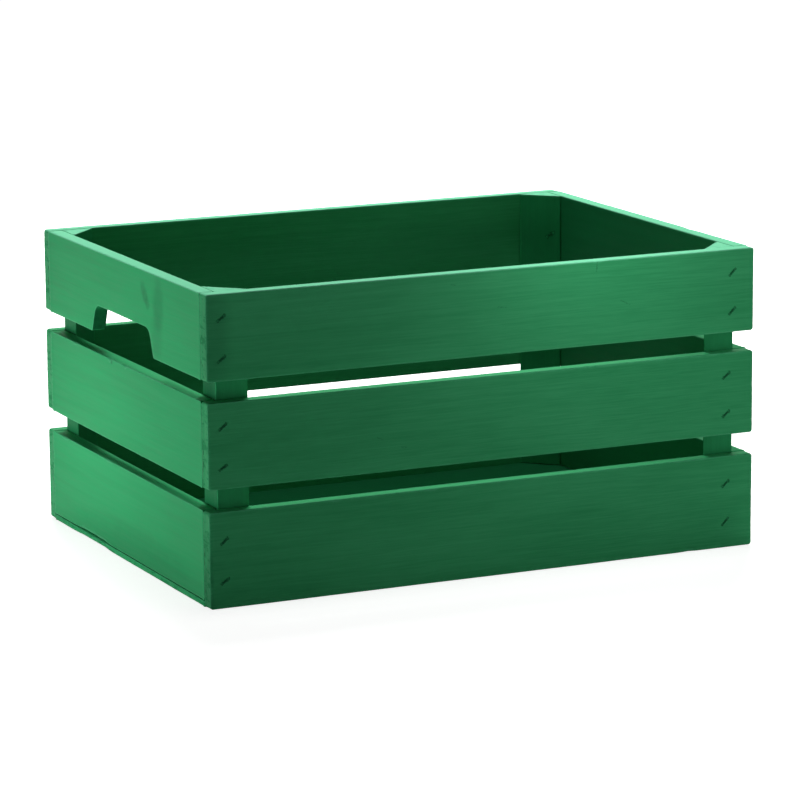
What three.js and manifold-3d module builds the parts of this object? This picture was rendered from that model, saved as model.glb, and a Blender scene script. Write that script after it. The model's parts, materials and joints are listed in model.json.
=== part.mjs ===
// A slatted wooden crate with hand holds in its two ends.
//
// Three tiers of boards stand round four triangular corner posts, over a thin floor panel. The long
// boards cover the ends of the end boards, and every joint is stapled.
//
// Millimetres, +Z up. The origin is on the ground under the middle of the crate. X runs along the
// long boards, the front is at -Y, and the ends with the hand holds face -X and +X.

import * as THREE from "three";
import { mergeVertices } from "three/addons/utils/BufferGeometryUtils.js";
import Module from "manifold-3d";

const wasm = await Module();
wasm.setup();

// Overall size over the boards' outer faces.
const crateLength = 400;
const crateWidth = 296;

// Boards and the gaps between the tiers, from the ground up.
const bottomBoardHeight = 64;
const lowerGap = 14.5;
const middleBoardHeight = 57;
const upperGap = 13.5;
const topBoardHeight = 57;
const longBoardThickness = 9.5;
const endBoardThickness = 10;

// Sanded edges: the corners of a board's outline, and the edge round each of its faces.
const boardCornerRadius = 1.6;
const boardEdgeRadius = 0.8;

// Corner posts, with two equal legs in the crate's corner and the long side facing inwards.
const postLeg = 24;
const postEdgeRadius = 0.9;

// The floor panel lies between the long boards and reaches under the end boards and the posts.
const floorThickness = 4;
const floorCornerRadius = 1;

// A hand hold is a notch in the lower edge of the top end board, wider at its mouth.
const handHoldWidth = 112;
const handHoldDepth = 19;
const handHoldFlare = 7.5;
const handHoldRadius = 9;
const handHoldMouthRadius = 1.5;

// Staples: crown measured outside to outside, square wire.
const stapleCrown = 7;
const stapleLeg = 16;
const stapleWire = 1.2;
const stapleBend = 0.9;
const stapleSink = 0.4;
const stapleSlant = Math.PI / 4;

// Places of the staples: two above each other at each end of a long board, set in from that end.
const staplePairSpacing = 26.5;
const stapleInsetLeft = 11.5;
const stapleInsetRight = 20;
const stapleInsetTopRight = 16;
// One through each post into each end board, set in from the post's edge along its leg.
const postStapleInset = 6;
// Three up through the floor panel into each bottom end board: one in the middle of the board, and
// one set in from each end of it.
const floorStapleInset = 38.2;

// Fits: timber against timber, and a staple in its slot.
const jointGap = 0.3;
const stapleClearance = 0.25;

// How far a cutting shape stands clear of the surface that it cuts.
const cutOvershoot = 1;

const roundSteps = 3;
const edgeSteps = 2;

const paint = { roughness: 0.5, metalness: 0 };
const longBoardColour = 0x2c8052;
const endBoardColour = 0x3c9c68;
const postColour = 0x2a7c50;
const floorColour = 0x26704a;
const stapleColour = 0x1c5436;

const middleBoardBase = bottomBoardHeight + lowerGap;
const topBoardBase = middleBoardBase + middleBoardHeight + upperGap;
const crateHeight = topBoardBase + topBoardHeight;
const tiers = [
  { name: "bottom", base: 0, height: bottomBoardHeight, insetRight: stapleInsetRight },
  { name: "middle", base: middleBoardBase, height: middleBoardHeight, insetRight: stapleInsetRight },
  { name: "top", base: topBoardBase, height: topBoardHeight, insetRight: stapleInsetTopRight },
];

const up = new THREE.Vector3(0, 0, 1);
const outOfFront = new THREE.Vector3(0, -1, 0);

// What is left between the long boards, and between the end boards.
const clearWidth = crateWidth - 2 * (longBoardThickness + jointGap);
const clearLength = crateLength - 2 * (endBoardThickness + jointGap);

// An outline from its corners, each [x, y, radius], with the corners rounded off.
function roundedOutline(corners) {
  const shape = new THREE.Shape();
  corners.forEach(([x, y, radius], i) => {
    const corner = new THREE.Vector2(x, y);
    const before = corners.at(i - 1);
    const after = corners[(i + 1) % corners.length];
    const toBefore = new THREE.Vector2(before[0], before[1]).sub(corner).normalize();
    const toAfter = new THREE.Vector2(after[0], after[1]).sub(corner).normalize();
    const halfAngle = Math.acos(toBefore.dot(toAfter)) / 2;
    const reach = radius / Math.tan(halfAngle);
    const start = corner.clone().addScaledVector(toBefore, reach);
    const end = corner.clone().addScaledVector(toAfter, reach);
    if (i === 0) shape.moveTo(start.x, start.y);
    else shape.lineTo(start.x, start.y);
    if (radius > 0) shape.quadraticCurveTo(x, y, end.x, end.y);
  });
  shape.closePath();
  return shape;
}

// A board stands on its lower edge at the origin of its own frame: x along it, y up, and z from its
// inner face to its outer one. Its outline is drawn at full size, and the rounding is cut into it.
function boardGeometry(outline, thickness) {
  const geometry = new THREE.ExtrudeGeometry(outline, {
    depth: thickness - 2 * boardEdgeRadius,
    curveSegments: roundSteps,
    bevelSegments: edgeSteps,
    bevelThickness: boardEdgeRadius,
    bevelSize: boardEdgeRadius,
    bevelOffset: -boardEdgeRadius,
  });
  return geometry.translate(0, 0, boardEdgeRadius);
}

function plainOutline(length, height) {
  const r = boardCornerRadius;
  return roundedOutline([
    [-length / 2, 0, r],
    [length / 2, 0, r],
    [length / 2, height, r],
    [-length / 2, height, r],
  ]);
}

// The outline of a top end board, with the hand hold let into its lower edge.
function handHoldOutline(length, height) {
  const r = boardCornerRadius;
  const mouth = handHoldWidth / 2;
  const roof = mouth - handHoldFlare;
  return roundedOutline([
    [-length / 2, 0, r],
    [-mouth, 0, handHoldMouthRadius],
    [-roof, handHoldDepth, handHoldRadius],
    [roof, handHoldDepth, handHoldRadius],
    [mouth, 0, handHoldMouthRadius],
    [length / 2, 0, r],
    [length / 2, height, r],
    [-length / 2, height, r],
  ]);
}

function postGeometry(height) {
  const r = postEdgeRadius;
  const triangle = roundedOutline([
    [0, 0, r],
    [postLeg, 0, r],
    [0, postLeg, r],
  ]);
  const options = { depth: height, curveSegments: roundSteps, bevelEnabled: false };
  return new THREE.ExtrudeGeometry(triangle, options);
}

function floorGeometry() {
  const x = crateLength / 2;
  const y = clearWidth / 2;
  const r = floorCornerRadius;
  const panel = roundedOutline([
    [-x, -y, r],
    [x, -y, r],
    [x, y, r],
    [-x, y, r],
  ]);
  const options = { depth: floorThickness, curveSegments: roundSteps, bevelEnabled: false };
  return new THREE.ExtrudeGeometry(panel, options);
}

// A staple in its own frame: the crown along x with its back at y = 0, and the legs along -y to
// their chisel points. The same outline, grown all round, is the slot that it sits in: the slot's
// back then rises out of the timber, and its corners stay square.
function stapleGeometry(grow, rise) {
  const outer = stapleCrown / 2 + grow;
  const inner = stapleCrown / 2 - stapleWire - grow;
  const under = -stapleWire - grow;
  const tip = -stapleLeg - grow;
  const shoulder = tip + stapleWire;
  const bend = grow > 0 ? 0 : stapleBend;
  const outline = roundedOutline([
    [-outer, rise, bend],
    [-outer, tip, 0],
    [-inner, shoulder, 0],
    [-inner, under, 0],
    [inner, under, 0],
    [inner, shoulder, 0],
    [outer, tip, 0],
    [outer, rise, bend],
  ]);
  const depth = stapleWire + 2 * grow;
  const options = { depth, curveSegments: roundSteps, bevelEnabled: false };
  return new THREE.ExtrudeGeometry(outline, options).translate(0, 0, -depth / 2);
}

function solidOf(geometry) {
  const bare = geometry.clone();
  bare.deleteAttribute("normal");
  bare.deleteAttribute("uv");
  const merged = mergeVertices(bare);
  const vertProperties = merged.attributes.position.array;
  const triVerts = new Uint32Array(merged.index.array);
  return new wasm.Manifold(new wasm.Mesh({ numProp: 3, vertProperties, triVerts }));
}

function geometryOf(solid) {
  const { vertProperties, triVerts } = solid.getMesh();
  const indexed = new THREE.BufferGeometry();
  indexed.setAttribute("position", new THREE.BufferAttribute(vertProperties, 3));
  indexed.setIndex(new THREE.BufferAttribute(triVerts, 1));
  const faceted = indexed.toNonIndexed();
  faceted.computeVertexNormals();
  return faceted;
}

const crate = new THREE.Group();
const timber = [];
const staples = [];

function addTimber(name, geometry, colour, parent) {
  const mesh = new THREE.Mesh(geometry, new THREE.MeshStandardMaterial({ color: colour, ...paint }));
  mesh.name = name;
  parent.add(mesh);
  timber.push(mesh);
  return mesh;
}

const stapleBody = stapleGeometry(0, 0);
const stapleSlot = stapleGeometry(stapleClearance, stapleSink + cutOvershoot);

// A staple driven in at a point of a surface, square to it, with its crown along a given line.
function driveStaple(name, point, crown, outward, parent) {
  const material = new THREE.MeshStandardMaterial({ color: stapleColour, roughness: 0.45, metalness: 0.4 });
  const mesh = new THREE.Mesh(stapleBody, material);
  mesh.name = name;
  mesh.position.copy(point).addScaledVector(outward, -stapleSink);
  const across = new THREE.Vector3().crossVectors(crown, outward);
  mesh.quaternion.setFromRotationMatrix(new THREE.Matrix4().makeBasis(crown, outward, across));
  parent.add(mesh);
  staples.push(mesh);
}

// The crown's line on an upright surface, rising to the right for someone who faces that surface.
function slantedCrown(outward) {
  const right = new THREE.Vector3().crossVectors(up, outward);
  return right.multiplyScalar(Math.cos(stapleSlant)).addScaledVector(up, Math.sin(stapleSlant));
}

// A wall of boards is built as the front one stands, and its group is turned to its side.
function addWall(turn, halfDepth) {
  const wall = new THREE.Group();
  wall.rotation.z = turn;
  wall.userData.halfDepth = halfDepth;
  crate.add(wall);
  return wall;
}

function addBoard(name, wall, outline, thickness, base, colour) {
  const board = addTimber(name, boardGeometry(outline, thickness), colour, wall);
  board.rotation.x = Math.PI / 2;
  board.position.set(0, thickness - wall.userData.halfDepth, base);
}

for (const [side, turn] of [["front", 0], ["rear", Math.PI]]) {
  const wall = addWall(turn, crateWidth / 2);
  for (const tier of tiers) {
    const outline = plainOutline(crateLength, tier.height);
    addBoard(`${side}_${tier.name}_board`, wall, outline, longBoardThickness, tier.base, longBoardColour);
    const middle = tier.base + tier.height / 2;
    const leftX = stapleInsetLeft - crateLength / 2;
    const rightX = crateLength / 2 - tier.insetRight;
    let count = 0;
    for (const x of [leftX, rightX]) {
      for (const z of [middle - staplePairSpacing / 2, middle + staplePairSpacing / 2]) {
        count += 1;
        const point = new THREE.Vector3(x, -crateWidth / 2, z);
        const name = `${side}_${tier.name}_staple_${count}`;
        driveStaple(name, point, slantedCrown(outOfFront), outOfFront, wall);
      }
    }
  }
}

for (const [side, turn] of [["left", -Math.PI / 2], ["right", Math.PI / 2]]) {
  const wall = addWall(turn, crateLength / 2);
  for (const tier of tiers) {
    // The bottom one stands on the floor panel, and its top is level with the long boards.
    const base = Math.max(tier.base, floorThickness + jointGap);
    const height = tier.base + tier.height - base;
    const drawn = tier.name === "top" ? handHoldOutline : plainOutline;
    const outline = drawn(clearWidth, height);
    addBoard(`${side}_end_${tier.name}_board`, wall, outline, endBoardThickness, base, endBoardColour);
  }
}

// Each post stands in its own group at a corner of the inside, where its two legs run along +x and
// +y. Going round the crate, the end board is by turns behind the leg along y and the one along x.
const insideX = clearLength / 2;
const insideY = clearWidth / 2;
const corners = [
  { name: "front_left", x: -insideX, y: -insideY, turn: 0, endIsAlongY: true },
  { name: "front_right", x: insideX, y: -insideY, turn: Math.PI / 2, endIsAlongY: false },
  { name: "rear_right", x: insideX, y: insideY, turn: Math.PI, endIsAlongY: true },
  { name: "rear_left", x: -insideX, y: insideY, turn: -Math.PI / 2, endIsAlongY: false },
];
const postBase = floorThickness + jointGap;
const intoCrate = new THREE.Vector3(1, 1, 0).normalize();
for (const corner of corners) {
  const group = new THREE.Group();
  group.position.set(corner.x, corner.y, 0);
  group.rotation.z = corner.turn;
  crate.add(group);
  const geometry = postGeometry(crateHeight - postBase);
  addTimber(`${corner.name}_post`, geometry, postColour, group).position.z = postBase;
  const near = postStapleInset;
  const far = postLeg - postStapleInset;
  for (const tier of tiers) {
    const z = tier.base + tier.height / 2;
    const [x, y] = corner.endIsAlongY ? [near, far] : [far, near];
    const point = new THREE.Vector3(x, y, z);
    driveStaple(`${corner.name}_post_staple_${tier.name}`, point, slantedCrown(intoCrate), intoCrate, group);
  }
}

addTimber("floor_panel", floorGeometry(), floorColour, crate);
const endBoardMiddle = crateLength / 2 - endBoardThickness / 2;
const downwards = new THREE.Vector3(0, 0, -1);
const alongEnd = new THREE.Vector3(0, 1, 0);
const outerStapleY = insideY - floorStapleInset;
for (const [side, x] of [["left", -endBoardMiddle], ["right", endBoardMiddle]]) {
  [-outerStapleY, 0, outerStapleY].forEach((y, i) => {
    const point = new THREE.Vector3(x, y, 0);
    driveStaple(`floor_${side}_staple_${i + 1}`, point, alongEnd, downwards, crate);
  });
}

// Every staple cuts its slot into each piece of timber that it reaches.
crate.updateMatrixWorld(true);
for (const piece of timber) {
  const reach = new THREE.Box3().setFromObject(piece).expandByScalar(stapleClearance);
  const intoPiece = piece.matrixWorld.clone().invert();
  let solid = solidOf(piece.geometry);
  for (const staple of staples) {
    if (!reach.intersectsBox(new THREE.Box3().setFromObject(staple))) continue;
    const slot = stapleSlot.clone().applyMatrix4(staple.matrixWorld).applyMatrix4(intoPiece);
    solid = solid.subtract(solidOf(slot));
  }
  piece.geometry = geometryOf(solid);
}

export default crate;
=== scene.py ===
# %% [markdown]
# # A slatted wooden crate, painted green
#
# The real crate is a stack of thin pine boards stapled round four triangular corner posts, with a
# thin panel for its floor, and all of it is sprayed green after it is put together. A frame made
# elsewhere holds every piece as a plain solid of the right size. This lesson dresses that frame: it
# makes each piece again with worn edges, nicks, grain and staple slots, gives it a layer of paint,
# and lights it softly. The frame is loaded first, because every size and place is read from it.

# %% Load the frame
import json
import math
import random

import bpy
import numpy as np
from mathutils import Matrix, Vector, noise
from mathutils.geometry import delaunay_2d_cdt

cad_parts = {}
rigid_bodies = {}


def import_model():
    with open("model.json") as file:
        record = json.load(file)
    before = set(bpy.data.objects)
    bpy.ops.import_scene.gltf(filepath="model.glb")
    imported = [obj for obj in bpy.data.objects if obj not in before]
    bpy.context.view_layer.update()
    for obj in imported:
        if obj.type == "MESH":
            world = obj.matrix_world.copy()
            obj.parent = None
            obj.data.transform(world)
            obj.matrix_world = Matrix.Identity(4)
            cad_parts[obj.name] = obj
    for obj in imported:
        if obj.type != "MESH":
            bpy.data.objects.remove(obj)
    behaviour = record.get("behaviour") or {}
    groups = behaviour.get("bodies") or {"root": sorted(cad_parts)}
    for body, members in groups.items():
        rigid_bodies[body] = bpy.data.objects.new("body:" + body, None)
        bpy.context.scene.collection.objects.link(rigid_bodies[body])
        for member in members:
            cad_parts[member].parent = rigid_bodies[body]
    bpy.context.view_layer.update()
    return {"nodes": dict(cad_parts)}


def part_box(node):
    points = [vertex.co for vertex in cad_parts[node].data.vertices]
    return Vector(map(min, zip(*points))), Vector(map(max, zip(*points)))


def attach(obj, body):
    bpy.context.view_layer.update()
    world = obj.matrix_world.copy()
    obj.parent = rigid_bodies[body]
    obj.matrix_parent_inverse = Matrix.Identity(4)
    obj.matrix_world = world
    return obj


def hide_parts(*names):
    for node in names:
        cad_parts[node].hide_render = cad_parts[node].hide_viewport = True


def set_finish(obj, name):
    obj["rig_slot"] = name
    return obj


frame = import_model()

MM = 0.001
BODY = "root"
print("pieces in the frame:", len(frame["nodes"]))

# %% [markdown]
# ## The camera
#
# The photograph was taken from far away with a long lens, from the left of the front and a little
# above. A camera can be aimed by a constraint, but here its turn is worked out from three angles,
# so that it also has the photograph's slight roll. A camera looks along its own -Z axis, and its
# own Y axis points up in the picture.

# %% Set up the camera
view_azimuth = math.radians(-25.022)
view_elevation = math.radians(11.588)
view_roll = math.radians(-0.427)
camera_place = Vector((-1.1481, -2.4697, 0.6509))
focal_length_px = 4019.9
image_width_px = 800
sensor_width = 36

level_share = math.cos(view_elevation)
backwards = Vector((
    math.sin(view_azimuth) * level_share,
    -math.cos(view_azimuth) * level_share,
    math.sin(view_elevation),
))
level_right = Vector((0, 0, 1)).cross(backwards).normalized()
level_up = backwards.cross(level_right)
camera_right = level_right * math.cos(view_roll) + level_up * math.sin(view_roll)
camera_up = level_up * math.cos(view_roll) - level_right * math.sin(view_roll)

camera_data = bpy.data.cameras.new("camera")
camera_data.sensor_width = sensor_width
camera_data.lens = sensor_width * focal_length_px / image_width_px
camera = bpy.data.objects.new("camera", camera_data)
camera_turn = Matrix((camera_right, camera_up, backwards)).transposed()
camera.matrix_world = Matrix.Translation(camera_place) @ camera_turn.to_4x4()
bpy.context.scene.collection.objects.link(camera)
bpy.context.scene.camera = camera
print("lens in mm:", round(camera_data.lens, 1), "distance in m:", round(camera_place.length, 2))

# %% [markdown]
# ## An outline with rounded corners
#
# Every piece of timber here is an outline with a thickness: a board is its face, and a post is its
# triangular section. A bevel modifier could round the outline's corners, but the points are worked
# out here instead, because the wear on each edge will be set point by point. Along the grain a
# board changes slowly, so its points may lie further apart there than across it.

# %% Draw an outline
CORNER_STEPS = 5


def rounded_outline(corners, step_x, step_y):
    """Points round a closed outline, anticlockwise. A corner is (x, y, radius of its rounding)."""
    arcs = []
    for i, (x, y, radius) in enumerate(corners):
        corner = np.array((x, y), float)
        to_before = np.array(corners[i - 1][:2]) - corner
        to_after = np.array(corners[(i + 1) % len(corners)][:2]) - corner
        to_before /= np.linalg.norm(to_before)
        to_after /= np.linalg.norm(to_after)
        half_angle = math.acos(to_before @ to_after) / 2
        start = corner + to_before * radius / math.tan(half_angle)
        end = corner + to_after * radius / math.tan(half_angle)
        inwards = (to_before + to_after) / np.linalg.norm(to_before + to_after)
        centre = corner + inwards * radius / math.sin(half_angle)
        arc = []
        for share in np.linspace(0, 1, CORNER_STEPS + 1):
            spoke = (start - centre) * (1 - share) + (end - centre) * share
            arc.append(centre + spoke / np.linalg.norm(spoke) * radius)
        arcs.append(arc)
    points = []
    for i, arc in enumerate(arcs):
        points.extend(arc)
        run = arcs[(i + 1) % len(arcs)][0] - arc[-1]
        steps = max(1, math.ceil(math.hypot(run[0] / step_x, run[1] / step_y)))
        points.extend(arc[-1] + run * k / steps for k in range(1, steps))
    return np.array(points)


def outline_normals(points):
    """The outward direction at each point of an anticlockwise outline."""
    along = np.roll(points, -1, axis=0) - np.roll(points, 1, axis=0)
    along /= np.linalg.norm(along, axis=1)[:, None]
    return np.stack([along[:, 1], -along[:, 0]], axis=1)


square = rounded_outline([(0, 0, 1), (9, 0, 1), (9, 9, 1), (0, 9, 1)], 3, 3)
print("points round a rounded square:", len(square))

# %% [markdown]
# ## The skin of one piece
#
# The skin is built ring by ring: out from the inner face over a rounded edge, along the thickness,
# and back over the other edge. Both faces are then filled with triangles between points on a
# staggered grid, by Delaunay's method. A subdivided cube would be quicker, but it couldn't follow
# the notch of a hand hold, and its edges would all be equally sharp. The result is one closed body.

# %% Build a skin
EDGE_STEPS = 4
FACE_MARGIN = 0.55


def points_inside(ring, step_x, step_y, extra):
    """Points of a staggered grid, and extra ones, that lie inside a ring and clear of its edge."""
    low, high = ring.min(axis=0), ring.max(axis=0)
    rows = np.arange(low[1] + step_y, high[1], step_y)
    grid = []
    for number, y in enumerate(rows):
        shift = step_x * (0.5 if number % 2 else 1)
        row = np.arange(low[0] + shift, high[0], step_x)
        grid.append(np.column_stack([row, np.full(len(row), y)]))
    points = np.concatenate([*grid, extra])
    after = np.roll(ring, -1, axis=0)
    crossings = np.zeros(len(points), int)
    nearest = np.full(len(points), np.inf)
    for a, b in zip(ring, after):
        spans = (a[1] > points[:, 1]) != (b[1] > points[:, 1])
        if a[1] != b[1]:
            meets = a[0] + (points[:, 1] - a[1]) * (b[0] - a[0]) / (b[1] - a[1])
            crossings += spans & (points[:, 0] < meets)
        nearest = np.minimum(nearest, np.hypot(points[:, 0] - a[0], points[:, 1] - a[1]))
    return points[(crossings % 2 == 1) & (nearest > FACE_MARGIN * step_y)]


def skin(outline, depth, low_edge, high_edge, wall_steps, face_step, extra=np.empty((0, 2))):
    """Points, normals, wear and faces of a closed skin. low_edge and high_edge are edge radii."""
    outward = outline_normals(outline)
    count = len(outline)
    rings, normals, worn = [], [], []

    def add_ring(radius, angle, height, edge):
        inset = radius * (1 - math.sin(angle))
        across = outline - outward * inset[:, None]
        rings.append(np.column_stack([across, height]))
        tilt = -math.cos(angle) if edge == "low" else math.cos(angle)
        normals.append(np.column_stack([outward * math.sin(angle), np.full(count, tilt)]))
        worn.append(np.full(count, 0.0 if edge == "wall" else 1.0))

    angles = np.linspace(0, math.pi / 2, EDGE_STEPS + 1)
    for angle in angles:
        add_ring(low_edge, angle, low_edge * (1 - math.cos(angle)), "low")
    for step in range(1, wall_steps):
        height = low_edge + (depth - low_edge - high_edge) * step / wall_steps
        add_ring(low_edge, math.pi / 2, height, "wall")
    for angle in angles[::-1]:
        add_ring(high_edge, angle, depth - high_edge * (1 - math.cos(angle)), "high")

    faces = []
    for ring in range(len(rings) - 1):
        base = ring * count
        for i in range(count):
            j = (i + 1) % count
            faces.append((base + i, base + j, base + count + j, base + count + i))

    used = len(rings) * count
    for ring_number, facing in ((0, -1), (len(rings) - 1, 1)):
        ring = rings[ring_number][:, :2] / MM
        inside = points_inside(ring, face_step[0] / MM, face_step[1] / MM, extra / MM)
        flat_points = [Vector(p) for p in np.concatenate([ring, inside])]
        found = delaunay_2d_cdt(flat_points, [], [list(range(count))], 1, 1e-6)
        number_of = [ring_number * count + o[0] if o[0] < count else used + o[0] - count for o in found[3]]
        for triangle in found[2]:
            corners = [number_of[corner] for corner in triangle]
            faces.append(corners if facing > 0 else corners[::-1])
        height = float(rings[ring_number][0, 2])
        rings.append(np.column_stack([inside * MM, np.full(len(inside), height)]))
        normals.append(np.tile((0.0, 0.0, float(facing)), (len(inside), 1)))
        worn.append(np.zeros(len(inside)))
        used += len(inside)
    return np.concatenate(rings), np.concatenate(normals), np.concatenate(worn), faces


radii = np.full(len(square), 0.8 * MM)
test_skin = skin(square * MM, 4 * MM, radii, radii, 3, (1.5 * MM, 1.5 * MM))
print("points and faces of a small test skin:", len(test_skin[0]), len(test_skin[3]))

# %% [markdown]
# ## Wear
#
# No edge on a cheap crate is straight. Sanding leaves it rounder in one place than in the next,
# knocks take small nicks out of it, and on one board the saw met the outside of the tree, which
# leaves a long hollow that woodworkers call wane. Where two boards meet at a corner, paint fills
# the joint, so their edges stay nearly sharp there. All of this is a change of the edge's radius,
# so one list of places is enough: each nick widens the radius of the edge that it lies on.

# %% Say where the nicks are
# Place in millimetres in the crate's frame, then the length and the depth of the nick.
nicks = [
    ((-110, -148, 64), 3.2, 1.3),
    ((-41, -148, 64), 3.6, 1.0),
    ((80, -148, 206), 2.2, 0.9),
    ((151, -148, 0), 4.0, 1.1),
    ((-200, 24, 135.5), 3.6, 2.2),
    ((-200, -4, 135.5), 3.0, 1.8),
    ((-200, 91, 135.5), 5.0, 1.0),
    ((-200, 82, 4.3), 10.0, 1.6),
    ((-200, 62, 4.3), 12.0, 2.0),
    ((-200, 44, 4.3), 8.0, 1.5),
    ((-200, 116, 64), 6.0, 0.9),
    ((-200, 30, 64), 9.0, 0.8),
    ((200, -60, 206), 6.0, 1.1),
    ((200, 70, 149), 4.0, 1.2),
    ((-60, 148, 206), 5.0, 1.2),
    ((90, 148, 64), 6.0, 1.0),
]
WAVE_LENGTH = 26 * MM
RIPPLE_LENGTH = 7 * MM
WAVE_SHARE = 0.32
RIPPLE_SHARE = 0.2
JOINT = np.array((200, 138)) * MM
JOINT_REACH = 2.5 * MM
JOINT_SHARE = 0.12


def at_joint(places):
    """True for each place in the crate's frame that lies by the joint of two boards."""
    return np.linalg.norm(np.abs(places[:, :2]) - JOINT, axis=1) < JOINT_REACH


def edge_radius(places, base, seed, limit):
    """The radius of a worn edge at each of its places, in the crate's frame."""
    radii = []
    for place, filled in zip(places, at_joint(places)):
        point = Vector(place)
        wave = noise.noise(point / WAVE_LENGTH + Vector((seed, 0, 0)))
        ripple = noise.noise(point / RIPPLE_LENGTH + Vector((0, seed, 0)))
        radius = base * (1 + WAVE_SHARE * wave + RIPPLE_SHARE * ripple)
        if filled:
            radius *= JOINT_SHARE
        for at, length, depth in nicks:
            distance = (point - Vector(at) * MM).length / (length * MM)
            radius += depth * MM * math.exp(-distance * distance)
        radii.append(min(radius, limit))
    return np.array(radii)


print("nicks by hand:", len(nicks))

# %% [markdown]
# ## The staples' places
#
# A staple is a piece of square wire bent into a bridge. The frame has each one as a plain solid
# with its crown slightly sunk. The flat back of that crown tells where the staple was driven in,
# so its middle is measured here from the frame. On an upright face every crown slants, rising to
# the right. A staple gun is never held quite the same way twice: some staples go deeper than
# others, and most lean a little to the same side. Depth and lean come from a seeded draw, so they
# are the same on every run.

# %% Measure the staples
STAPLE_CROWN = 7 * MM
STAPLE_LEG = 15.6 * MM
STAPLE_WIRE = 1.2 * MM
STAPLE_DEEPER = (0.03 * MM, 0.18 * MM)
STAPLE_LEAN = (math.radians(-14), math.radians(1))
SAME_FACE = 0.01 * MM
STAPLE_SEED = 11
DIAGONAL = math.sqrt(0.5)

facing = {
    "front": Vector((0, -1, 0)),
    "rear": Vector((0, 1, 0)),
    "left": Vector((-1, 0, 0)),
    "right": Vector((1, 0, 0)),
    "floor": Vector((0, 0, -1)),
    "front_left_post": Vector((DIAGONAL, DIAGONAL, 0)),
    "front_right_post": Vector((-DIAGONAL, DIAGONAL, 0)),
    "rear_right_post": Vector((-DIAGONAL, -DIAGONAL, 0)),
    "rear_left_post": Vector((DIAGONAL, -DIAGONAL, 0)),
}


def facing_of(name):
    """The direction that the named piece faces, by the longest name of a side that it starts with."""
    sides = [side for side in facing if name.startswith(side)]
    return facing[max(sides, key=len)]


def staple_turn(name, hand):
    """Where a staple stands: its crown along x, its outside up y, as a matrix with a small lean."""
    outward = facing_of(name)
    corners = [vertex.co for vertex in frame["nodes"][name].data.vertices]
    reach = max(corner.dot(outward) for corner in corners)
    back = [corner for corner in corners if reach - corner.dot(outward) < SAME_FACE]
    middle = sum(back, Vector()) / len(back)
    if outward.z:
        crown = Vector((0, 1, 0))
    else:
        crown = (Vector((0, 0, 1)).cross(outward) + Vector((0, 0, 1))).normalized()
    across = crown.cross(outward)
    place = Matrix((crown, outward, across)).transposed().to_4x4()
    lean = Matrix.Rotation(hand.uniform(*STAPLE_LEAN), 4, "Y")
    deeper = outward * -hand.uniform(*STAPLE_DEEPER)
    return Matrix.Translation(middle + deeper) @ place @ lean


hand = random.Random(STAPLE_SEED)
staple_names = sorted(name for name in frame["nodes"] if "staple" in name)
staple_places = {name: staple_turn(name, hand) for name in staple_names}
print("staples:", len(staple_places))

# %% [markdown]
# ## Shapes that cut the timber
#
# Two things are cut into the skins: the slot of each staple, and small tears in the sawn ends of
# the long boards, where the blade pulled fibres out. Each cutter is a closed shape of its own. A
# boolean modifier takes all of them out of a board at once, and its Manifold solver keeps the board
# one closed body. Painting dark lines instead would look the same from afar, but not from near.

# %% Make the cutters
SLOT_CLEARANCE = 0.05 * MM
SLOT_RISE = 1.5 * MM
TEAR_LENGTH = (3.0 * MM, 8.0 * MM)
TEAR_WIDTH = (0.5 * MM, 0.9 * MM)
TEAR_DEPTH = (0.4 * MM, 0.8 * MM)
TEAR_UP = (0.05, 0.6)
TEAR_IN = (0.08, 0.45)
TEAR_LEAN = (math.radians(78), math.radians(100))
TEAR_RISE = 0.4 * MM
TEARS_PER_END = 6


def add_cutter(points, faces, place, group):
    """A closed cutting shape, kept in the collection that a boolean modifier reads."""
    mesh = bpy.data.meshes.new("cutter")
    mesh.from_pydata([place @ Vector(point) for point in points], [], faces)
    cutter = bpy.data.objects.new("cutter", mesh)
    group.objects.link(cutter)


def prism(section, thickness):
    """Points and faces of a section drawn in x and y, anticlockwise, and thickened both ways in z."""
    count = len(section)
    points = [(x, y, -thickness / 2) for x, y in section] + [(x, y, thickness / 2) for x, y in section]
    sides = [(i, (i + 1) % count, (i + 1) % count + count, i + count) for i in range(count)]
    return points, [tuple(range(count))[::-1], tuple(range(count, 2 * count)), *sides]


def slot_shape():
    """The slot of a staple: its own outline grown by the clearance, and open to the outside."""
    outer = STAPLE_CROWN / 2 + SLOT_CLEARANCE
    inner = STAPLE_CROWN / 2 - STAPLE_WIRE - SLOT_CLEARANCE
    under = -STAPLE_WIRE - SLOT_CLEARANCE
    tip = -STAPLE_LEG - SLOT_CLEARANCE
    section = [(-outer, SLOT_RISE), (-outer, tip), (-inner, tip + STAPLE_WIRE), (-inner, under)]
    mirrored = [(-x, y) for x, y in reversed(section)]
    return prism(section + mirrored, STAPLE_WIRE + 2 * SLOT_CLEARANCE)


def tear_shape(hand):
    """A thin wedge that points into the wood, with its wide side out."""
    half = hand.uniform(*TEAR_LENGTH) / 2
    width = hand.uniform(*TEAR_WIDTH) / 2
    depth = hand.uniform(*TEAR_DEPTH)
    mouth = [(-half, 0), (0, width), (half, 0), (0, -width)]
    points = [(x, y, TEAR_RISE) for x, y in mouth] + [(0, 0, -depth)]
    return points, [(0, 3, 2, 1), (0, 1, 4), (1, 2, 4), (2, 3, 4), (3, 0, 4)]


slot_points, slot_faces = slot_shape()
print("corners of a slot cutter:", len(slot_points))

# %% [markdown]
# ## Relief
#
# Sawn and sanded pine is never flat. A board dries into a slight curve, its harder rings stand up
# as low ridges along the grain, and its sawn ends are rough. Here every point of a skin is pushed
# in by noise of those three sizes, and a little more where a staple has crushed the wood round it.
# A displace modifier could do one of these at a time. Points only ever move inwards, so a piece
# can't grow past the size that it has in the frame.

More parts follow.
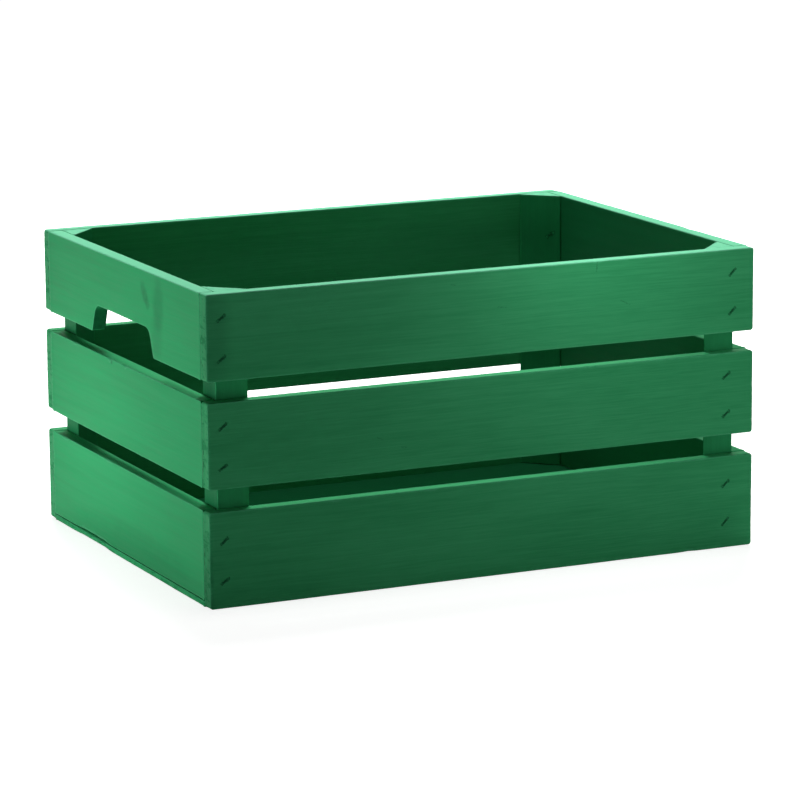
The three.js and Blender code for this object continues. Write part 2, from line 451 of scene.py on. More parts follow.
# %% Push the points in
BOW = 0.22 * MM
RIDGE = 0.07 * MM
END_ROUGHNESS = 0.28 * MM
CRUSH = 0.3 * MM
CRUSH_REACH = 2.2 * MM
BOW_LENGTH = Vector((110, 34, 30)) * MM
RIDGE_LENGTH = Vector((52, 2.6, 2.6)) * MM
ROUGH_LENGTH = Vector((1.4, 1.4, 1.1)) * MM
SAWN_FROM = 0.1


def grain_first(grain_axis):
    """The three axes in the order that the noises want: the one along the grain comes first."""
    return [grain_axis, *(axis for axis in range(3) if axis != grain_axis)]


def ripple_at(point, lengths, seed):
    """Smooth noise from 0 to 1, stretched to its own length along each axis."""
    stretched = Vector((point[0] / lengths.x + seed, point[1] / lengths.y, point[2] / lengths.z))
    return 0.5 + 0.5 * noise.noise(stretched)


def press_in(points, normals, grain_axis, seed, crowns, calm):
    """Moves each point of a skin in along its normal.

    crowns are staples, as two ends each. calm is the share of the relief that each point keeps.
    """
    moved = points.copy()
    order = grain_first(grain_axis)
    crush = np.zeros(len(points))
    for start, end in crowns:
        line = end - start
        share = np.clip((points - start) @ line / (line @ line), 0, 1)
        distance = np.linalg.norm(points - (start + share[:, None] * line), axis=1)
        crush = np.maximum(crush, CRUSH * np.exp(-((distance / CRUSH_REACH) ** 2)))
    for i, (point, normal) in enumerate(zip(points, normals)):
        along = point[order]
        depth = BOW * ripple_at(along, BOW_LENGTH, seed) + RIDGE * ripple_at(along, RIDGE_LENGTH, seed)
        sawn = abs(normal[grain_axis])
        if sawn > SAWN_FROM:
            depth += END_ROUGHNESS * sawn * ripple_at(along, ROUGH_LENGTH, seed)
        moved[i] = point - normal * (depth * calm[i] + crush[i])
    return moved


print("deepest relief on a face in mm:", round((BOW + RIDGE) / MM, 2))

# %% [markdown]
# ## From a skin to a piece of timber
#
# A board is drawn lying in its own frame: x along it, y up it, and z from its inner face to its
# outer one. The same recipe then serves all twelve boards, and a matrix stands each one in its
# wall. Its mesh also keeps facts for the paint: where a point lies in the wood and in the crate,
# how worn it is, whether it lies on sawn end grain, and whether it is on the skin or in a cut. The
# paint reads them as attributes, which is more exact than guessing them from the shape later.

# %% Make a piece of timber
FACE_STEP = (2.6 * MM, 1.5 * MM)
END_STEP = 0.95 * MM
WALL_STEP = 1.05 * MM
EDGE_LIMIT = 3.2 * MM
EDGE_SHARE = 0.4
SHARP_FROM = math.radians(34)
NEAR_STAPLE = 7.5 * MM
FINE_STEP = 1.1 * MM
SEED_SHIFT = (1.37, 0.61, 0.23)


def crowns_near(place, low, high):
    """The staples that reach into a box: a name and the crown's two ends, in the piece's own frame."""
    to_piece = place.inverted()
    half = STAPLE_CROWN / 2
    found = []
    for name, staple in staple_places.items():
        spots = ((-half, 0, 0), (half, 0, 0), (0, -STAPLE_LEG, 0))
        start, end, tip = (to_piece @ (staple @ Vector(spot)) for spot in spots)
        spans = [sorted(pair) for pair in zip((start + end) / 2, tip)]
        meets = [
            near - STAPLE_CROWN < high[k] and far + STAPLE_CROWN > low[k]
            for k, (near, far) in enumerate(spans)
        ]
        if all(meets):
            found.append((name, np.array(start), np.array(end)))
    return found


def fine_points(crowns, thickness):
    """Extra points on a face round each staple that was driven into it from outside."""
    points = [np.empty((0, 2))]
    reach = np.arange(-NEAR_STAPLE, NEAR_STAPLE, FINE_STEP)
    for _, start, end in crowns:
        middle = (start + end) / 2
        if abs(middle[2] - thickness) < CRUSH_REACH:
            x, y = np.meshgrid(middle[0] + reach, middle[1] + reach)
            points.append(np.column_stack([x.ravel(), y.ravel()]))
    return np.concatenate(points)


def cut_timber(obj, group):
    """Takes every shape in the collection out of a piece, and leaves no modifier on it."""
    if not group.objects:
        return
    bpy.context.scene.collection.children.link(group)
    cut = obj.modifiers.new("cut", "BOOLEAN")
    cut.operation = "DIFFERENCE"
    cut.operand_type = "COLLECTION"
    cut.collection = group
    cut.solver = "MANIFOLD"
    bpy.context.view_layer.update()
    whole = obj.data
    obj.data = bpy.data.meshes.new_from_object(obj.evaluated_get(bpy.context.evaluated_depsgraph_get()))
    obj.modifiers.clear()
    bpy.data.meshes.remove(whole)
    for cutter in list(group.objects):
        bpy.data.meshes.remove(cutter.data)
    bpy.context.scene.collection.children.unlink(group)


def note(mesh, name, values):
    """Writes one value or one vector for each point of a mesh, where the paint can read it."""
    kind, key = ("FLOAT_VECTOR", "vector") if values.ndim > 1 else ("FLOAT", "value")
    mesh.attributes.new(name, kind, "POINT").data.foreach_set(key, values.ravel())


def stand_up(points, matrix):
    """Points of a piece's own frame, brought into the crate's frame."""
    return points @ matrix[:3, :3].T + matrix[:3, 3]


def add_timber(node, place, outline, depth, edge, grain_axis, wall_steps, seed, tears=0):
    """One piece of timber that stands for a node of the frame, cut and ready for its paint."""
    world = np.array(place)
    crowns = crowns_near(place, (*outline.min(axis=0), 0), (*outline.max(axis=0), depth))
    ends = [(start, end) for _, start, end in crowns]
    edges = []
    for height in (0, depth):
        places = stand_up(np.column_stack([outline, np.full(len(outline), height)]), world)
        edges.append(edge_radius(places, edge, seed, min(EDGE_LIMIT, depth * EDGE_SHARE)))
    extra = fine_points(crowns, depth)
    points, normals, worn, faces = skin(outline, depth, *edges, wall_steps, FACE_STEP, extra)
    calm = np.where(at_joint(stand_up(points, world)), JOINT_SHARE, 1.0)
    moved = press_in(points, normals, grain_axis, seed, ends, calm)
    mesh = bpy.data.meshes.new(node)
    mesh.from_pydata(moved.tolist(), [], faces)
    note(mesh, "worn", worn)
    note(mesh, "skin", np.ones(len(worn)))
    note(mesh, "sawn", np.abs(normals[:, grain_axis]))
    timber = bpy.data.objects.new(f"{node}_timber", mesh)
    timber.matrix_world = place
    bpy.context.scene.collection.objects.link(timber)

    group = bpy.data.collections.new("cutters")
    for name, _, _ in crowns:
        add_cutter(slot_points, slot_faces, staple_places[name], group)
    hand = random.Random(seed)
    low, high = outline.min(axis=0), outline.max(axis=0)
    for side, end in ((-1, low[0]), (1, high[0])):
        for _ in range(tears):
            up = low[1] + (high[1] - low[1]) * hand.uniform(*TEAR_UP)
            middle = Vector((end, up, depth * hand.uniform(*TEAR_IN)))
            out_of_end = Matrix.Rotation(side * math.pi / 2, 4, "Y")
            lean = Matrix.Rotation(hand.uniform(*TEAR_LEAN), 4, "Z")
            tear_points, tear_faces = tear_shape(hand)
            lie = Matrix.Translation(middle) @ out_of_end @ lean
            add_cutter(tear_points, tear_faces, place @ lie, group)
    cut_timber(timber, group)
    bpy.data.collections.remove(group)
    return finish_timber(timber, node, grain_axis, seed)


def finish_timber(timber, node, grain_axis, seed):
    """Notes where each point lies in the wood, shades the piece, and ties it to the frame."""
    mesh = timber.data
    points = np.empty(len(mesh.vertices) * 3, np.float32)
    mesh.vertices.foreach_get("co", points)
    points = points.reshape(-1, 3)
    shift = np.array([seed * share for share in SEED_SHIFT], np.float32)
    note(mesh, "in_wood", points[:, grain_first(grain_axis)] + shift)
    note(mesh, "in_crate", stand_up(points, np.array(timber.matrix_world, np.float32)))
    mesh.shade_smooth()
    mesh.set_sharp_from_angle(angle=SHARP_FROM)
    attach(timber, BODY)
    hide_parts(node)
    return timber


print("steps over a face in mm:", [round(step / MM, 2) for step in FACE_STEP])

# %% [markdown]
# ## The boards
#
# Each board is read from the frame: its box gives its length, its height and its thickness. The
# two top end boards have a hand hold, a notch in their lower edge that is wider at its mouth, so
# that four fingers slide in. All the boards stand in the frame's walls with x to the right for
# someone who looks at that wall from outside.

# %% Make the boards
BOARD_CORNER = 1.9 * MM
BOARD_EDGE = 0.6 * MM
HAND_HOLD_WIDTH = 112 * MM
HAND_HOLD_DEPTH = 19 * MM
HAND_HOLD_FLARE = 7.5 * MM
HAND_HOLD_RADIUS = 9 * MM
HAND_HOLD_MOUTH = 1.6 * MM


def board_outline(length, height, held):
    """The face of a board, with a hand hold in its lower edge if it has one."""
    half, r = length / 2, BOARD_CORNER
    mouth = HAND_HOLD_WIDTH / 2
    roof = mouth - HAND_HOLD_FLARE
    notch = [
        (-mouth, 0, HAND_HOLD_MOUTH),
        (-roof, HAND_HOLD_DEPTH, HAND_HOLD_RADIUS),
        (roof, HAND_HOLD_DEPTH, HAND_HOLD_RADIUS),
        (mouth, 0, HAND_HOLD_MOUTH),
    ] if held else []
    corners = [(-half, 0, r), *notch, (half, 0, r), (half, height, r), (-half, height, r)]
    return rounded_outline(corners, FACE_STEP[0], END_STEP)


def board_place(low, high, outward):
    """Stands a board that is drawn lying down: x along the wall, y up, z outwards."""
    middle = (low + high) / 2
    along = Vector((0, 0, 1)).cross(outward)
    thickness = abs((high - low).dot(outward))
    foot = Vector((middle.x, middle.y, low.z)) - outward * thickness / 2
    turn = Matrix((along, Vector((0, 0, 1)), outward)).transposed().to_4x4()
    return Matrix.Translation(foot) @ turn, abs((high - low).dot(along)), thickness


boards = []
board_nodes = sorted(name for name in frame["nodes"] if name.endswith("_board"))
for seed, node in enumerate(board_nodes, start=1):
    low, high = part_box(node)
    is_end = "_end_" in node
    place, length, thickness = board_place(low, high, facing_of(node))
    outline = board_outline(length, high.z - low.z, is_end and "top" in node)
    walls = math.ceil(thickness / WALL_STEP)
    tears = 0 if is_end else TEARS_PER_END
    board = add_timber(node, place, outline, thickness, BOARD_EDGE, 0, walls, seed, tears)
    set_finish(board, "end_board" if is_end else "long_board")
    boards.append(board)
print("boards:", len(boards), "points in all:", sum(len(board.data.vertices) for board in boards))

# %% [markdown]
# ## The corner posts
#
# A post is a square stick sawn in two from corner to corner. Its two short sides lie against the
# boards, and its long side faces the inside of the crate. It is drawn as that triangle and made as
# long as the node is high, so its grain runs up it.

# %% Make the posts
POST_CORNER = 0.5 * MM
POST_EDGE = 0.3 * MM
POST_STEP = 2.4 * MM
SECTION_STEP = END_STEP * 1.4
FIRST_POST_SEED = 21

posts = []
post_nodes = sorted(name for name in frame["nodes"] if name.endswith("_post"))
for seed, node in enumerate(post_nodes, start=FIRST_POST_SEED):
    low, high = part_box(node)
    inwards = facing_of(node)
    leg = high.x - low.x
    corner = Vector((low.x if inwards.x > 0 else high.x, low.y if inwards.y > 0 else high.y, low.z))
    turn = Matrix.Rotation(math.atan2(inwards.y, inwards.x) - math.pi / 4, 4, "Z")
    place = Matrix.Translation(corner) @ turn
    triangle = [(0, 0, POST_CORNER), (leg, 0, POST_CORNER), (0, leg, POST_CORNER)]
    outline = rounded_outline(triangle, SECTION_STEP, SECTION_STEP)
    height = high.z - low.z
    walls = math.ceil(height / POST_STEP)
    post = add_timber(node, place, outline, height, POST_EDGE, 2, walls, seed)
    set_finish(post, "corner_post")
    posts.append(post)
print("posts:", len(posts), "height of a post in mm:", round(height / MM, 1))

# %% [markdown]
# ## The floor panel
#
# The floor is one thin panel that reaches under the end boards, where its edge shows from outside.
# It is made like a board that lies down.

# %% Make the floor panel
FLOOR_CORNER = 1.2 * MM
FLOOR_EDGE = 0.4 * MM
FLOOR_WALLS = 4
FLOOR_SEED = 31
AROUND = ((-1, -1), (1, -1), (1, 1), (-1, 1))

low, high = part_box("floor_panel")
outline = rounded_outline(
    [(x * high.x, y * high.y, FLOOR_CORNER) for x, y in AROUND], FACE_STEP[0], FACE_STEP[0])
floor_panel = add_timber(
    "floor_panel", Matrix.Identity(4), outline, high.z, FLOOR_EDGE, 0, FLOOR_WALLS, FLOOR_SEED)
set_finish(floor_panel, "floor_panel")
print("floor panel in mm:", [round(side / MM, 1) for side in high - low])

# %% [markdown]
# ## The staples
#
# The wire of a staple is square with its corners just broken. It is swept round the bridge by
# rings made one by one: down one leg, round two tight bends, and down the other, with the legs cut
# to a slanting point. A curve with a bevel would round the wire. Paint fills the slots, so only the
# crowns show, but the legs are made too, because a staple that is pulled out has them.

# %% Make the staples
BEND = 0.45 * MM
BEND_STEPS = 4
WIRE_CORNER = 0.22 * MM
POINT_LENGTH = 1.1 * MM
POINT_SLANT, POINT_SIDE = 0.15, 0.8


def staple_path():
    """The middle of the wire and its outward direction, from one point to the other."""
    half = STAPLE_CROWN / 2 - STAPLE_WIRE / 2
    leg_ends = (-STAPLE_LEG, -STAPLE_LEG + POINT_LENGTH)
    path = [(Vector((-half, height, 0)), Vector((-1, 0, 0))) for height in leg_ends]
    for side in (-1, 1):
        centre = Vector((side * (half - BEND / 2), -STAPLE_WIRE / 2 - BEND / 2, 0))
        angles = np.linspace(0, math.pi / 2, BEND_STEPS + 1)
        for angle in angles if side < 0 else angles[::-1]:
            outward = Vector((side * math.cos(angle), math.sin(angle), 0))
            path.append((centre + outward * BEND / 2, outward))
    path += [(Vector((half, height, 0)), Vector((1, 0, 0))) for height in reversed(leg_ends)]
    return path


def staple_mesh():
    """A closed skin of wire round the path, with its two ends drawn to a slanting point."""
    half, broken = STAPLE_WIRE / 2, STAPLE_WIRE / 2 - WIRE_CORNER
    section = [(broken, half), (half, broken), (half, -broken), (broken, -half),
               (-broken, -half), (-half, -broken), (-half, broken), (-broken, half)]
    path = staple_path()
    points, faces = [], []
    for number, (middle, outward) in enumerate(path):
        for across, over in section:
            if number in (0, len(path) - 1):
                across = across * POINT_SLANT + half * POINT_SIDE
            points.append(middle + outward * across + Vector((0, 0, over)))
    count = len(section)
    for ring in range(len(path) - 1):
        base = ring * count
        for i in range(count):
            j = (i + 1) % count
            faces.append((base + i, base + j, base + count + j, base + count + i))
    last = (len(path) - 1) * count
    faces.append(tuple(range(count))[::-1])
    faces.append(tuple(range(last, last + count)))
    mesh = bpy.data.meshes.new("staple")
    mesh.from_pydata(points, [], faces)
    mesh.shade_smooth()
    mesh.set_sharp_from_angle(angle=SHARP_FROM)
    return mesh


wire = staple_mesh()
staples = []
for name, place in staple_places.items():
    staple = bpy.data.objects.new(f"{name}_wire", wire)
    staple.matrix_world = place
    bpy.context.scene.collection.objects.link(staple)
    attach(staple, BODY)
    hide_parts(name)
    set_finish(staple, "staple")
    staples.append(staple)
print("staples:", len(staples), "points in one:", len(wire.vertices))

# %% [markdown]
# ## Wiring nodes
#
# Paint is made of shader nodes. Adding and linking them one by one takes many lines, so a helper
# takes a node's settings and what feeds each of its inputs: a number, a colour, or another node's
# output. An effect that several paints share is a node group with named inputs and outputs, which
# is built once and then placed in each paint with its own values.

# %% Write the wiring helpers
def add_node(tree, kind, feeds=None, **settings):
    """A shader node with its settings. feeds maps an input's name or number to a value or a socket."""
    node = tree.nodes.new(f"ShaderNode{kind}")
    for setting, value in settings.items():
        setattr(node, setting, value)
    for socket, value in (feeds or {}).items():
        if isinstance(value, bpy.types.NodeSocket):
            tree.links.new(value, node.inputs[socket])
        else:
            node.inputs[socket].default_value = value
    return node


def math_node(tree, operation, first, second=0.0, third=0.0, clamp=False):
    """The result of one sum, as a socket. clamp keeps it between 0 and 1."""
    feeds = {0: first, 1: second, 2: third}
    return add_node(tree, "Math", feeds, operation=operation, use_clamp=clamp).outputs[0]


def vector_node(tree, operation, first, second=(0.0, 0.0, 0.0), third=(0.0, 0.0, 0.0)):
    """The result of one sum of vectors: a number for a length or a dot product, else a vector."""
    node = add_node(tree, "VectorMath", {0: first, 1: second, 2: third}, operation=operation)
    return node.outputs["Value" if operation in ("LENGTH", "DOT_PRODUCT") else "Vector"]


def join_axes(tree, x, y, z):
    """A vector made of three values."""
    return add_node(tree, "CombineXYZ", {0: x, 1: y, 2: z}).outputs[0]


def fade(tree, value, start, end, low=0.0, high=1.0):
    """Maps a value smoothly from one range to another, and stops at its ends."""
    feeds = {"Value": value, "From Min": start, "From Max": end, "To Min": low, "To Max": high}
    return add_node(tree, "MapRange", feeds, interpolation_type="SMOOTHSTEP").outputs["Result"]


def noise_node(tree, place, scale, detail=2.0, roughness=0.5, output="Fac"):
    """Noise from 0 to 1 at a place, with so many lumps per metre, or its colour."""
    feeds = {"Vector": place, "Scale": scale, "Detail": detail, "Roughness": roughness}
    return add_node(tree, "TexNoise", feeds).outputs[output]


def new_group(name, inputs, outputs):
    """An empty node group. inputs and outputs are (name, kind of value) or (name, kind, default)."""
    group = bpy.data.node_groups.new(name, "ShaderNodeTree")
    for label, kind, *default in inputs:
        socket = group.interface.new_socket(name=label, in_out="INPUT", socket_type=f"NodeSocket{kind}")
        if default:
            socket.default_value = default[0]
    for label, kind in outputs:
        group.interface.new_socket(name=label, in_out="OUTPUT", socket_type=f"NodeSocket{kind}")
    return group, group.nodes.new("NodeGroupInput").outputs, group.nodes.new("NodeGroupOutput").inputs


def place_group(tree, group, feeds):
    """Puts a node group into a paint, with what feeds its inputs."""
    return add_node(tree, "Group", feeds, node_tree=group).outputs


print("helpers ready")

# %% [markdown]
# ## Grain
#
# Even under paint, pine shows its year rings: long, slightly wavy lines along the board, with fine
# fibres between them. A wave texture would draw rings that are too regular. Here plain noise is
# squeezed across the grain and stretched along it, and a slower noise bends its lines, so that they
# wander as they do round a knot. The group gives the broad lines, the fine fibres, and the height
# that both leave in the paint.

# %% Build the grain group
WANDER_STRETCH = (7.0, 26.0, 1.0)
FIBRES_FINER = (6.0, 3.6, 3.6)
LINES_FROM, LINES_TO = 0.3, 0.72
FIBRES_FROM, FIBRES_TO = 0.32, 0.7
LINES_HEIGHT, FIBRES_HEIGHT = 0.55, 0.45

grain_group, entry, result = new_group(
    "grain",
    [
        ("In Wood", "Vector"),
        ("Line Length", "Float", 0.16),
        ("Line Width", "Float", 0.0035),
        ("Wander", "Float", 0.004),
    ],
    [("Lines", "Float"), ("Fibres", "Float"), ("Height", "Float")],
)
tree = grain_group
split = add_node(tree, "SeparateXYZ", {0: entry["In Wood"]}).outputs
slow = vector_node(tree, "MULTIPLY", entry["In Wood"], WANDER_STRETCH)
bend = math_node(tree, "SUBTRACT", noise_node(tree, slow, 1.0, 1.0), 0.5)
bent = math_node(tree, "MULTIPLY_ADD", bend, entry["Wander"], split[1])
along = math_node(tree, "DIVIDE", split[0], entry["Line Length"])
across = math_node(tree, "DIVIDE", bent, entry["Line Width"])
deep = math_node(tree, "DIVIDE", split[2], entry["Line Width"])
lines_place = join_axes(tree, along, across, deep)
lines = fade(tree, noise_node(tree, lines_place, 1.0, 3.0, 0.55), LINES_FROM, LINES_TO)
fibres_place = vector_node(tree, "MULTIPLY", lines_place, FIBRES_FINER)
fibres = fade(tree, noise_node(tree, fibres_place, 1.0, 2.0, 0.6), FIBRES_FROM, FIBRES_TO)
tree.links.new(lines, result["Lines"])
tree.links.new(fibres, result["Fibres"])
height = math_node(tree, "MULTIPLY", lines, LINES_HEIGHT)
height = math_node(tree, "MULTIPLY_ADD", fibres, FIBRES_HEIGHT, height)
tree.links.new(height, result["Height"])
print("grain group:", len(grain_group.nodes), "nodes")

# %% [markdown]
# ## Clouds, wear and sawn ends
#
# Three more effects are shared by all the timber. Sprayed paint is a little thicker here and
# thinner there, which shows as soft clouds. On the edges it has been rubbed thin, in patches and
# not as an even line. And sawn end grain drinks paint, so it stays dark and pitted. The worn and
# sawn places are known from the mesh, and noise only breaks them up.

# %% Build the groups for clouds, wear and sawn ends
CLOUDS_FROM, CLOUDS_TO = 0.3, 0.7
BARE_FROM, BARE_TO = 0.72, 1.02
ON_END_FROM, ON_END_TO = 0.6, 0.95
PITS_FROM, PITS_TO = 0.52, 0.66
PITS_TILT = (0.62, 0.0, 0.0)
PITS_STRETCH = (1.0, 0.34, 1.0)

clouds_group, entry, result = new_group(
    "paint_clouds",
    [("In Wood", "Vector"), ("Size", "Float", 0.05), ("Stretch", "Float", 3.0)],
    [("Thickness", "Float")],
)
tree = clouds_group
split = add_node(tree, "SeparateXYZ", {0: entry["In Wood"]}).outputs
along = math_node(tree, "DIVIDE", split[0], entry["Stretch"])
cloud_scale = math_node(tree, "DIVIDE", 1.0, entry["Size"])
clouds = noise_node(tree, join_axes(tree, along, split[1], split[2]), cloud_scale, 3.0, 0.55)
tree.links.new(fade(tree, clouds, CLOUDS_FROM, CLOUDS_TO), result["Thickness"])

wear_group, entry, result = new_group(
    "edge_wear",
    [("In Crate", "Vector"), ("Worn", "Float"), ("Patch Size", "Float", 0.006), ("Amount", "Float", 0.5)],
    [("Bare", "Float")],
)
tree = wear_group
patch_scale = math_node(tree, "DIVIDE", 1.0, entry["Patch Size"])
patches = noise_node(tree, entry["In Crate"], patch_scale, 4.0, 0.65)
reach = math_node(tree, "MULTIPLY_ADD", entry["Worn"], entry["Amount"], patches)
bare = fade(tree, reach, BARE_FROM, BARE_TO)
tree.links.new(math_node(tree, "MULTIPLY", bare, entry["Worn"]), result["Bare"])

sawn_group, entry, result = new_group(
    "sawn_end",
    [("In Crate", "Vector"), ("Sawn", "Float"), ("Pit Size", "Float", 0.003)],
    [("Pits", "Float"), ("Height", "Float")],
)
tree = sawn_group
feeds = {"Vector": entry["In Crate"], "Rotation": PITS_TILT, "Scale": PITS_STRETCH}
tilted = add_node(tree, "Mapping", feeds).outputs[0]
pit_scale = math_node(tree, "DIVIDE", 1.0, entry["Pit Size"])
pits = noise_node(tree, tilted, pit_scale, 2.0, 0.6)
on_end = fade(tree, entry["Sawn"], ON_END_FROM, ON_END_TO)
deep = math_node(tree, "MULTIPLY", fade(tree, pits, PITS_FROM, PITS_TO), on_end)
tree.links.new(deep, result["Pits"])
tree.links.new(math_node(tree, "MULTIPLY", pits, on_end), result["Height"])
print("groups so far:", [group.name for group in bpy.data.node_groups])

# %% [markdown]
# ## Painted shade inside
#
# The inner faces are painted darker and darker further down: this is painted shade, for the shade
# inside the crate. The mask starts at the inner edge of a board, over less than a millimetre, and
# then grows slowly from the rim down. Its first input says how strong it is at the rim. The second
# one shrinks it on the posts, whose front and rear faces show in the gaps between the long boards.

# %% Build the group for the painted shade inside
INNER_LENGTH, INNER_WIDTH = 190 * MM, 138 * MM
INSIDE_START, INSIDE_END = 1.2 * MM, 0.45 * MM
SHADE_DEEPENS_FROM, SHADE_DEEPENS_TO = 206 * MM, 172 * MM

inside_shade_group, entry, result = new_group(
    "inside",
    [("In Crate", "Vector"), ("At Rim", "Float", 0.2), ("Through Gaps", "Float", 0.0)],
    [("Mask", "Float")],
)
tree = inside_shade_group
split = add_node(tree, "SeparateXYZ", {0: entry["In Crate"]}).outputs
past_length = math_node(tree, "SUBTRACT", math_node(tree, "ABSOLUTE", split["X"]), INNER_LENGTH)
past_width = math_node(tree, "SUBTRACT", math_node(tree, "ABSOLUTE", split["Y"]), INNER_WIDTH)
past_width = math_node(tree, "ADD", past_width, entry["Through Gaps"])
past_inner_face = math_node(tree, "MAXIMUM", past_length, past_width)
inner_face = fade(tree, past_inner_face, INSIDE_START, INSIDE_END)
below_rim = fade(tree, split["Z"], SHADE_DEEPENS_FROM, SHADE_DEEPENS_TO, entry["At Rim"], 1.0)
tree.links.new(math_node(tree, "MULTIPLY", inner_face, below_rim), result["Mask"])
print("inside group:", len(tree.nodes), "nodes")

# %% [markdown]
# ## Marks with a place
#
# Some marks are this crate's own: a knot and a streak beside it show through the paint of the left
# end, and the front has a few scratches. A few wide, soft dark blots are painted shade, for places
# that are darker in the photograph: the left end's foot, the near corner's foot, the front's upper
# left corner, and the near post in the upper gap. Stains and blots of painted shade are each a soft
# dark patch round a point, and a scratch is a thin line between two points. Both groups work in the
# crate's own coordinates, so a mark stays where it is put. Noise roughens a blot's outline and
# breaks a scratch up.

# %% Build the groups for stains, painted shade and scratches
STAIN_RAGGED = 8 * MM
STAIN_LUMPS = 90.0
STAIN_FROM, STAIN_TO = 1.25, 0.35
SCRATCH_LUMPS = 900.0
BROKEN_FROM, BROKEN_TO = 0.35, 0.6
SCRATCH_FROM, SCRATCH_TO = 1.0, 0.2

stain_and_shade_group, entry, result = new_group(
    "stain_and_shade",
    [("In Crate", "Vector"), ("Middle", "Vector"), ("Half Size", "Vector", (0.01, 0.01, 0.01))],
    [("Mask", "Float")],
)
tree = stain_and_shade_group
ragged = noise_node(tree, entry["In Crate"], STAIN_LUMPS, output="Color")
ragged = vector_node(tree, "SUBTRACT", ragged, (0.5, 0.5, 0.5))
pushed = vector_node(tree, "MULTIPLY_ADD", ragged, (STAIN_RAGGED,) * 3, entry["In Crate"])
away = vector_node(tree, "SUBTRACT", pushed, entry["Middle"])
away = vector_node(tree, "DIVIDE", away, entry["Half Size"])
distance = vector_node(tree, "LENGTH", away)
tree.links.new(fade(tree, distance, STAIN_FROM, STAIN_TO), result["Mask"])

scratch_group, entry, result = new_group(
    "scratch",
    [("In Crate", "Vector"), ("Start", "Vector"), ("End", "Vector"), ("Width", "Float", 0.0006)],
    [("Mask", "Float")],
)
tree = scratch_group
line = vector_node(tree, "SUBTRACT", entry["End"], entry["Start"])
from_start = vector_node(tree, "SUBTRACT", entry["In Crate"], entry["Start"])
dot = vector_node(tree, "DOT_PRODUCT", from_start, line)
square_length = vector_node(tree, "DOT_PRODUCT", line, line)
share = math_node(tree, "DIVIDE", dot, square_length, clamp=True)
nearest = add_node(tree, "VectorMath", {0: line, "Scale": share}, operation="SCALE").outputs[0]
distance = vector_node(tree, "LENGTH", vector_node(tree, "SUBTRACT", from_start, nearest))
widths_away = math_node(tree, "DIVIDE", distance, entry["Width"])
near = fade(tree, widths_away, SCRATCH_FROM, SCRATCH_TO)
broken = fade(tree, noise_node(tree, entry["In Crate"], SCRATCH_LUMPS), BROKEN_FROM, BROKEN_TO)
tree.links.new(math_node(tree, "MULTIPLY", near, broken), result["Mask"])
print("groups so far:", [group.name for group in bpy.data.node_groups])

# %% [markdown]
# ## The paint on the timber
#
# One recipe paints every piece of timber, with its own values for the long boards, the end boards,
# the posts and the floor panel. The colour starts as a green that clouds and grain make a little
# darker or lighter, and on the long boards a faint grey lies over it as a painted sheen. Marks and
# sawn pits darken it, and wear lets a paler, thinner coat show. Painted shade darkens the walls of
# the slots and tears, the posts' faces, the floor panel, the inner faces and the sawn ends of the
# end boards; the long boards' sawn ends are a little darker as end grain. A few soft dark blots are
# painted shade too. The rim is palest of all, as a painted highlight, because the photograph shows
# it much lighter than light alone would make it. The paint is satin: it scatters most light, and it
# shines only where it is seen at a low angle, so its specular level is low. Roughness and bump
# follow the same grain as the colour.

# %% Mix the paint for the timber
PAINT_DEEP = (0.0235, 0.315, 0.110, 1)
PAINT_LIGHT = (0.0345, 0.405, 0.150, 1)
PAINT_THIN = (0.085, 0.47, 0.225, 1)
# painted highlight: the pale green laid along the rim
PAINT_RIM_HIGHLIGHT = (0.2, 0.69, 0.415, 1)
PAINT_DARK = (0.006, 0.085, 0.032, 1)
# painted sheen: the grey mixed over the long boards' green
PAINTED_SHEEN = (0.5, 0.54, 0.5, 1)
PAINT_SPECULAR = 0.032
TONE_MEAN = 0.5
LINES_SHARE = 0.28
CLOUD_SHARE = 0.46
WORN_STRENGTH = 0.55
PIT_STRENGTH = 0.3
# painted shade: how dark the walls of the slots and tears are laid
SLOT_SHADE_STRENGTH = 0.6
RIM_HIGHLIGHT_STRENGTH = 0.75
RIM_HIGHLIGHT_FROM, RIM_HIGHLIGHT_TO = 204.9 * MM, 205.6 * MM
SLOT_FROM, SLOT_TO = 0.95, 0.4
ON_FACE, ON_SAWN = 0.5, 0.9
ROUGH_PAINT = 0.44
ROUGH_FIBRES, ROUGH_CLOUDS, ROUGH_PITS = 0.12, 0.06, 0.25
PIT_RELIEF, BARE_RELIEF, SCUFF_RELIEF = 2.0, -0.5, -1.5
RELIEF_STRENGTH = 0.6
RELIEF_DEPTH = 0.12 * MM


def mix_colour(tree, share, first, second):
    """A colour between two others, as a socket."""
    return add_node(tree, "Mix", {"Factor": share, 6: first, 7: second}, data_type="RGBA").outputs[2]


def cover(tree, colour, mask, strength, coat):
    """A colour with another one laid over it where a mask says, as a socket."""
    return mix_colour(tree, math_node(tree, "MULTIPLY", mask, strength), colour, coat)


def add_up(tree, total, *shares):
    """A value plus several others, each times its own number. shares are (value, number)."""
    for value, number in shares:
        total = math_node(tree, "MULTIPLY_ADD", value, number, total)
    return total


def noted(tree, name, output="Fac"):
    """What the mesh has noted for each point, as a socket."""
    return add_node(tree, "Attribute", attribute_name=name).outputs[output]


